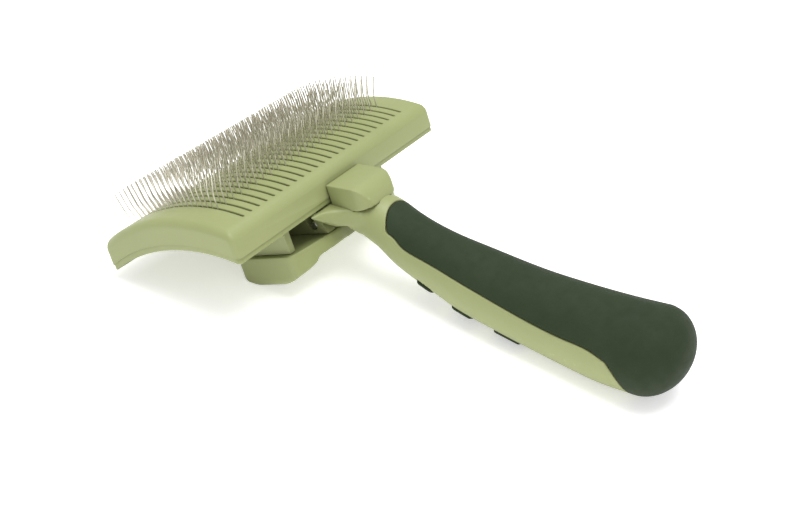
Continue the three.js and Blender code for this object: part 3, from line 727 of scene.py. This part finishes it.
def rubber_grip():
    edge_radius = 0.6
    tip, shoulder, turn_start = GRIP_LOBE["tip"], GRIP_LOBE["shoulder"], GRIP_TURN[0][0]
    first = 0.02  # the lobe's first row stands just behind its tip
    lobe = [tip + (shoulder - tip) * (first + (1 - first) * i / 24) ** 2 for i in range(25)]
    straight = [shoulder + (turn_start - shoulder) * i / 60 for i in range(1, 60)]
    turn = [x for x, _ in quadratic(*GRIP_TURN, 40)]
    places = [section_at(x) for x in lobe + straight + turn]
    dome_start, dome_end = places[-1], 1.998
    places += [dome_start + (dome_end - dome_start) * i / 22 for i in range(1, 23)]

    def drop(s, share):
        x, _, half_width, half_height = section(s)
        span = grip_reach(s)
        if span > math.pi - 1e-4:
            return 0
        beside = (1 - abs(share)) * span * (half_width + half_height) / 2
        return rolled(min(beside, x - tip), edge_radius)

    patch = skin_patch(places, 0, grip_reach, drop, GRIP_THICKNESS, edge_shares(0.012, 44))
    grip = new_object("rubber_grip_look", patch)
    finish_piece(grip, HANDLE_PLACE, "brush_body", ["rubber_grip"], [rubber], sharp=60)


def thumb_bars():
    edge_radius = 0.9
    for number, (start, end) in enumerate(THUMB_BARS, 1):
        steps = 22
        places = [section_at(start + (end - start) * i / steps) for i in range(steps + 1)]

        def reach(s):
            return math.asin(THUMB_BAR_HALF / section(s)[2])

        def drop(s, share):
            x = section(s)[0]
            beside = (1 - abs(share)) * THUMB_BAR_HALF
            near = min(beside, x - start, end - x)
            return rolled(near, edge_radius) - THUMB_BAR_PROUD

        patch = skin_patch(places, math.pi, reach, drop, THUMB_BAR_DEEP, edge_shares(0.018, 24))
        bar = new_object(f"thumb_bar_{number}_look", patch)
        finish_piece(bar, HANDLE_PLACE, "brush_body", [f"thumb_bar_{number}"], [rubber], sharp=60)


def grip_pocket():
    """The room that the rubber grip takes up in the handle, with clearance."""
    edge = [(x, z - CLEARANCE) for x, z in grip_edge]
    outline = edge + [(BEYOND, grip_edge[-1][1]), (BEYOND, BEYOND), (grip_edge[0][0], BEYOND)]
    side = new_object("pocket", prism(outline, -BEYOND, BEYOND, along_y))
    tip, wide, round_half = GRIP_LOBE["tip"] - CLEARANCE, GRIP_LOBE["wide"], GRIP_LOBE["round_half"]
    shoulder = (GRIP_LOBE["shoulder"], GRIP_LOBE["shoulder_half"] + CLEARANCE)
    left = quadratic((tip, 0), (tip, round_half), shoulder, 12)
    right = [(x, -y) for x, y in reversed(left[1:])]
    corners = [(wide, BEYOND), (BEYOND, BEYOND), (BEYOND, -BEYOND)]
    combine(side, prism([(wide, -BEYOND)] + right + left + corners, -BEYOND, BEYOND, along_n), "INTERSECT")
    combine(side, handle_form(GRIP_THICKNESS + CLEARANCE, 48), "DIFFERENCE")
    return side


def neck_softness(point):
    """How much the neck's joins are melted: fully behind the flare, little on its wings and on the tongue."""
    behind = max(0, min(1, (point.x - MELT["from"]) / MELT["ease_in"]))
    ahead = max(0, min(1, (MELT["to"] - point.x) / MELT["ease_out"]))
    return MELT["least"] + (1 - MELT["least"]) * behind * ahead


def flare(from_head):
    """The part of the neck that spreads out in two wings under the head's rear wall."""
    front, wing_rear, rear, rear_half = FLARE["front"], FLARE["wing_rear"], FLARE["rear"], FLARE["rear_half"]
    top, half_top = FLARE_TOP["n"], FLARE_TOP["half"]
    bottom, half_bottom = FLARE_BOTTOM["n"], FLARE_BOTTOM["half"]
    end_view = [(-half_top, top), (-half_bottom, bottom), (half_bottom, bottom), (half_top, top)]
    wings = new_object("flare", from_head(prism(end_view, front, rear - 1, along_u)))
    hollow_u, hollow_half = FLARE_HOLLOW
    right = quadratic((wing_rear, -half_top), (hollow_u, -hollow_half), (rear, -rear_half), 16)
    left = [(u, -y) for u, y in reversed(right)]
    plan = [(front - 1, half_top), (front - 1, -half_top)] + right + left
    combine(wings, from_head(prism(plan, bottom - 1, top + 1, along_n)), "INTERSECT")
    side_view = [(front - 1, bottom - 1), (front - 1, top), (wing_rear, top),
                 (rear, top - FLARE_TOP["fall"]), (rear, bottom - 1)]
    combine(wings, from_head(prism(side_view, -half_top - 1, half_top + 1, along_y)), "INTERSECT")
    return wings


def thumb_bar_pocket(start, end):
    low = (start - CLEARANCE, -THUMB_BAR_HALF - CLEARANCE, -BEYOND)
    high = (end + CLEARANCE, THUMB_BAR_HALF + CLEARANCE, THUMB_BAR_ROOF)
    pocket = new_object("pocket", block(low, high))
    return combine(pocket, handle_form(THUMB_BAR_DEEP + CLEARANCE, 48), "DIFFERENCE")


def tongue_and_screw_holes(from_head):
    """The spring's cup, the holes that hold the guide rods, and the neck screws' holes."""
    cup_outline = circle(0, 0, SPRING_CUP_RADIUS, 36)
    cup = prism(cup_outline, -SPRING_LENGTH - CLEARANCE, -SPRING_CUP_TOP, along_n)
    bmesh.ops.transform(cup, matrix=HANDLE_PLACE.inverted() @ SPRING_PLACE, verts=cup.verts)
    holes = [cup]
    for u, n in RODS.values():
        holes.append(from_head(prism(circle(u, n, ROD_RADIUS + CLEARANCE, 36), -BEYOND, BEYOND, along_y)))
    for side in (-1, 1):
        place = (NECK_SCREW["u"], side * NECK_SCREW["y"])
        shank = circle(*place, NECK_SCREW["shank"] + CLEARANCE)
        head = circle(*place, NECK_SCREW["head"] + CLEARANCE)
        holes.append(from_head(prism(shank, -BEYOND, 0, along_n)))
        holes.append(from_head(prism(head, -BEYOND, NECK_SCREW["seat"] + CLEARANCE, along_n)))
    return holes


def cap_cover(from_head):
    """The room that the cap takes up in the neck, with a thin seam around it."""
    half = BLOCK["half_width"] + 1
    cover = new_object("cover", from_head(prism(block_outline(SEAM), -half, half, along_y)))
    return combine(cover, from_head(prism(block_plan(SEAM), -BEYOND, 0, along_n)), "INTERSECT")


def handle_body():
    to_handle = HANDLE_PLACE.inverted() @ HEAD_PLACE
    to_head = HEAD_PLACE.inverted() @ HANDLE_PLACE

    def from_head(bm):
        bmesh.ops.transform(bm, matrix=to_handle, verts=bm.verts)
        return bm

    body = new_object("handle_body_look", handle_form())
    combine(body, flare(from_head), "UNION")
    tongue_low = (TONGUE["front"], -TONGUE["half_width"], TONGUE["bottom"])
    tongue_high = (TONGUE["rear"], TONGUE["half_width"], TONGUE["top"])
    combine(body, from_head(block(tongue_low, tongue_high)), "UNION")
    rounded_by_remesh(body, 0.6, 14, lambda p: neck_softness(to_head @ p))

    combine(body, grip_pocket(), "DIFFERENCE")
    for start, end in THUMB_BARS:
        combine(body, thumb_bar_pocket(start, end), "DIFFERENCE")
    for hole in tongue_and_screw_holes(from_head):
        combine(body, hole, "DIFFERENCE")
    combine(body, block((FLAT_FROM, -BEYOND, -BEYOND), (BEYOND, BEYOND, 0)), "DIFFERENCE")
    rounded_by_remesh(body, 0.34, 3)
    combine(body, cap_cover(from_head), "DIFFERENCE")
    finish_piece(body, HANDLE_PLACE, "brush_body", ["handle_body"], [plastic], sharp=50)


# ---------------------------------------------------------------- pull bar


def bar_screw_holes():
    holes = []
    for u, y in BAR_SCREW_PLACES:
        head = circle(u, y, BAR_SCREW["head"] + CLEARANCE)
        shank = circle(u, y, BAR_SCREW["shank"] + CLEARANCE)
        holes.append(prism(head, -BEYOND, BAR_SCREW["seat"] + CLEARANCE, along_n))
        holes.append(prism(shank, -BEYOND, 0, along_n))
    return holes


def pull_bar():
    facet_rise = REST_FACET * math.tan(HEAD_TILT)
    thin = BAR_TOP - BAR["thin"]
    middle_rear, middle_half, half = BAR["middle_rear"], BAR["middle_half"], BAR["half_length"]
    end_view = [(BAR_FRONT, BAR_BOTTOM + facet_rise), (BAR_FRONT + REST_FACET, BAR_BOTTOM)]
    end_view += quadratic((BAR_FLAT_REAR, BAR_BOTTOM), (BAR_CURVE, BAR_BOTTOM), (middle_rear, thin), 14)
    end_view.append((middle_rear, BAR_TOP))
    end_view += [(BAR_FRONT + BAR_CHAMFER, BAR_TOP), (BAR_FRONT, BAR_TOP - BAR_CHAMFER)]
    bar = new_object("pull_bar_look", prism(end_view, -half, half, along_y))

    start, full, bend = BAR_WING["start"], BAR_WING["full"], BAR_WING["bend"]
    rise = cubic((start, thin), (start + bend, thin), (full - bend, BAR_BOTTOM), (full, BAR_BOTTOM), 14)
    round_start, round_end = (half - BAR_END_ROUND, BAR_BOTTOM), (half, BAR_BOTTOM + BAR_END_ROUND)
    right = rise + quadratic(round_start, (half, BAR_BOTTOM), round_end, 8) + [(half, BAR_TOP)]
    left = [(-y, n) for y, n in reversed(right)]
    combine(bar, prism(left + right, BAR_FRONT - 1, middle_rear + 1, along_u), "INTERSECT")

    corner = BAR_PLAN_CORNER
    front, rear, end = BAR_FRONT + corner, BAR["rear"] - corner, half - corner
    plan = arc(front, -end, corner, 180, 270, 10) + arc(rear, -end, corner, 270, 360, 10)
    taper_bend, taper_end = (middle_rear, -middle_half - BAR_TAPER), (middle_rear, BAR_TAPER - middle_half)
    taper = quadratic((BAR["rear"], -end), taper_bend, taper_end, 12)
    plan += taper[1:] + [(u, -y) for u, y in reversed(taper[1:])]
    plan += arc(rear, end, corner, 0, 90, 10) + arc(front, end, corner, 90, 180, 10)
    combine(bar, prism(plan, BAR_BOTTOM - 1, BAR_TOP + 1, along_n), "INTERSECT")
    rounded_by_remesh(bar, 0.4, 7)
    for hole in bar_screw_holes():
        combine(bar, hole, "DIFFERENCE")
    finish_piece(bar, HEAD_PLACE, "pin_carriage", ["pull_bar"], [plastic], sharp=50)


# ---------------------------------------------------------------- pins


def wire(path, y, sideways, sides=7):
    """A pin along a path in the (u, n) plane, with a rounded tip. sideways bends it along y."""
    rings = []
    for i, point in enumerate(path):
        before, after = Vector(path[max(i - 1, 0)]), Vector(path[min(i + 1, len(path) - 1)])
        along = (after - before).normalized()
        across = Vector((along.y, -along.x))
        centre_y = y + sideways * (i / (len(path) - 1)) ** 2
        size = PIN_RADIUS * (0.45 if i == len(path) - 1 else 1)
        ring = []
        for a in [2 * math.pi * k / sides for k in range(sides)]:
            out = size * math.cos(a)
            ring.append((point[0] + out * across.x, centre_y + size * math.sin(a), point[1] + out * across.y))
        rings.append(ring)
    return loft(rings)


def pin_path(u, lean_change):
    """Leans to the front as far as the knee and is bent back above it, with a small radius at the knee."""
    square = math.asin(u / ARCH_RADIUS) + lean_change
    lower = Vector((math.sin(square + LOWER_LEAN), math.cos(square + LOWER_LEAN)))
    upper = Vector((math.sin(square + UPPER_LEAN), math.cos(square + UPPER_LEAN)))
    face = Vector((u, arch(u)))
    knee = face + lower * KNEE_HEIGHT
    tip = knee + upper * (PIN_LENGTH - KNEE_HEIGHT)
    bend = quadratic(knee - lower * KNEE_SOFT, knee, knee + upper * KNEE_SOFT, 4)
    return [face - lower * PIN_ROOT, face] + [Vector(p) for p in bend] + [tip - upper * PIN_TIP, tip]


def strip_band(y):
    """The arched strip that holds the feet of one row of pins."""
    steps = 20
    rings = []
    for i in range(steps + 1):
        u = STRIP["front"] + (STRIP["rear"] - STRIP["front"]) * i / steps
        slope = math.asin(u / ARCH_RADIUS)
        down = Vector((-math.sin(slope), -math.cos(slope)))
        upper = Vector((u, arch(u))) + down * STRIP["outer"]
        lower = Vector((u, arch(u))) + down * STRIP["inner"]
        half = STRIP["half_width"]
        rings.append([(upper.x, y - half, upper.y), (upper.x, y + half, upper.y),
                      (lower.x, y + half, lower.y), (lower.x, y - half, lower.y)])
    return loft(rings)


def pin_rows():
    for row in range(SLOT_COUNT):
        y = (row - (SLOT_COUNT - 1) / 2) * SLOT_PITCH
        parts = [strip_band(y)]
        strip_faces = len(parts[0].faces)
        for i in range(PINS_PER_ROW):
            lean_change = random.uniform(-PIN_LEAN_SPREAD, PIN_LEAN_SPREAD)
            path = pin_path(FIRST_PIN + i * PIN_PITCH, lean_change)
            parts.append(wire(path, y, random.uniform(-PIN_SIDE_SPREAD, PIN_SIDE_SPREAD)))
        node = f"pin_row_{row + 1:02d}"
        pins = new_object(f"{node}_look", merged(parts))
        finish_piece(pins, HEAD_PLACE, "pin_carriage", [node], [pin_wire, plastic], sharp=50)
        for face in pins.data.polygons[:strip_faces]:
            face.material_index = 1


# ---------------------------------------------------------------- rods, screws and spring


def lathe(profile, sides=32):
    """A turned piece about the c axis, from (radius, height) points."""
    angles = [2 * math.pi * i / sides for i in range(sides)]
    return loft([[(r * math.cos(a), r * math.sin(a), h) for a in angles] for r, h in profile])


def guide_rods():
    chamfer = 0.25
    profile = [(ROD_RADIUS - chamfer, -ROD_HALF), (ROD_RADIUS, chamfer - ROD_HALF),
               (ROD_RADIUS, ROD_HALF - chamfer), (ROD_RADIUS - chamfer, ROD_HALF)]
    for name, (u, n) in RODS.items():
        rod = new_object(f"{name}_look", lathe(profile))
        lay = HEAD_PLACE @ Matrix.Translation((u, 0, n)) @ Matrix.Rotation(math.pi / 2, 4, "X")
        finish_piece(rod, lay, "brush_body", [name], [zinc], sharp=30)


def screw(node, body, u, y, size):
    """A pan-head screw that points up along n, with a thread and a cross recess in its head."""
    head, shank, seat, tip, height = size
    half_pitch = 0.35
    pan = [(0.62, 1), (0.86, 0.9), (0.98, 0.62), (1, 0.3), (1, 0)]  # shares of the head's radius and height
    profile = [(head * across, seat - height * down) for across, down in pan]
    turns = int((tip - seat) / half_pitch)
    for i in range(turns):
        level = seat + (tip - seat - 0.6) * (i + 0.5) / turns
        profile.append((shank if i % 2 else shank * 0.8, level))
    profile.append((shank * 0.25, tip))
    made = new_object(f"{node}_look", lathe(profile, 28))
    arm, half = head * 0.55, head * 0.13
    for across in (0, 1):
        low = (-(half if across else arm), -(arm if across else half), seat - height - 1)
        high = (half if across else arm, arm if across else half, seat - height * 0.35)
        combine(made, block(low, high), "DIFFERENCE")
    finish_piece(made, HEAD_PLACE @ Matrix.Translation((u, y, 0)), body, [node], [zinc], sharp=35)


def screws():
    neck = tuple(NECK_SCREW[part] for part in ("head", "shank", "seat", "tip", "head_height"))
    for node, side in (("neck_screw_right", -1), ("neck_screw_left", 1)):
        screw(node, "brush_body", NECK_SCREW["u"], side * NECK_SCREW["y"], neck)
    small = tuple(BAR_SCREW[part] for part in ("head", "shank", "seat", "tip", "head_height"))
    for number, (u, y) in enumerate(BAR_SCREW_PLACES, 1):
        screw(f"bar_screw_{number}", "pin_carriage", u, y, small)


def return_spring():
    steps = SPRING_TURNS * 28
    sides = 10
    rings = []
    for i in range(steps + 1):
        t = i / steps
        angle = 2 * math.pi * SPRING_TURNS * t
        radius = SPRING_TOP_RADIUS + (SPRING_SEAT_RADIUS - SPRING_TOP_RADIUS) * t
        depth = 2 * SPRING_WIRE + (SPRING_LENGTH - 3 * SPRING_WIRE) * t
        out = Vector((math.cos(angle), math.sin(angle), 0))
        centre = out * radius + Vector((0, 0, -depth))
        ring = [centre + SPRING_WIRE * (math.cos(a) * out + math.sin(a) * Vector((0, 0, 1)))
                for a in [2 * math.pi * k / sides for k in range(sides)]]
        rings.append(ring)
    spring = new_object("return_spring_look", loft(rings))
    finish_piece(spring, SPRING_PLACE, "brush_body", ["return_spring"], [zinc])
    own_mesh(spring)


# ---------------------------------------------------------------- pieces

face_shell()
neck_block()
handle_body()
rubber_grip()
thumb_bars()
pull_bar()
pin_rows()
guide_rods()
screws()
return_spring()

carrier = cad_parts["pin_carrier"]
carrier.data.materials.clear()
carrier.data.materials.append(plastic)
carrier_edges = carrier.modifiers.new("edges", "BEVEL")
carrier_edges.width = 0.25 * MM
carrier_edges.segments = 2
carrier_edges.limit_method = "ANGLE"
carrier_edges.angle_limit = math.radians(40)

# ---------------------------------------------------------------- floor, light and camera


def floor():
    bm = bmesh.new()
    bmesh.ops.create_grid(bm, x_segments=2, y_segments=2, size=3)
    made = new_object("floor", bm)
    material, nodes, links, surface = shader("pale_floor")
    tone = remap(nodes, links, noise(nodes, links, 3, 2), 0.9, 0.93)
    grey = nodes.new("ShaderNodeCombineColor")
    for channel in ("Red", "Green", "Blue"):
        links.new(tone, grey.inputs[channel])
    links.new(grey.outputs["Color"], surface.inputs["Base Color"])
    surface.inputs["Roughness"].default_value = 0.9
    surface.inputs["Specular IOR Level"].default_value = 0.1
    surface.inputs["Emission Color"].default_value = (1, 1, 1, 1)
    surface.inputs["Emission Strength"].default_value = 0.46
    made.data.materials.append(material)


def area_light(name, place, size, power, target):
    data = bpy.data.lights.new(name, "AREA")
    data.size = size
    data.energy = power
    made = bpy.data.objects.new(name, data)
    made.location = place
    made.rotation_euler = (Vector(target) - Vector(place)).to_track_quat("-Z", "Y").to_euler()
    bpy.context.scene.collection.objects.link(made)


floor()
world = bpy.data.worlds.new("studio")
world.use_nodes = True
world.node_tree.nodes["Background"].inputs["Color"].default_value = (1, 1, 1, 1)
world.node_tree.nodes["Background"].inputs["Strength"].default_value = 0.7
bpy.context.scene.world = world
area_light("key", place=(0.02, 0.05, 0.9), size=0.7, power=7.8, target=(0, 0, 0.02))

CAMERA_PLACE = Vector((254.6, -317.2, 201.0)) * MM
CAMERA_AZIMUTH = math.radians(32.34)
CAMERA_ELEVATION = math.radians(30.95)
CAMERA_LEAN = math.radians(4.92)
camera_data = bpy.data.cameras.new("camera")
camera_data.sensor_width = 36
camera_data.lens = 59.4
camera = bpy.data.objects.new("camera", camera_data)
bpy.context.scene.collection.objects.link(camera)
camera.matrix_world = (
    Matrix.Translation(head_origin)
    @ Matrix.Rotation(-CAMERA_LEAN, 4, "Y")
    @ Matrix.Translation(CAMERA_PLACE)
    @ Matrix.Rotation(CAMERA_AZIMUTH, 4, "Z")
    @ Matrix.Rotation(math.pi / 2 - CAMERA_ELEVATION, 4, "X")
)
bpy.context.scene.camera = camera
bpy.context.scene.view_settings.view_transform = "Standard"
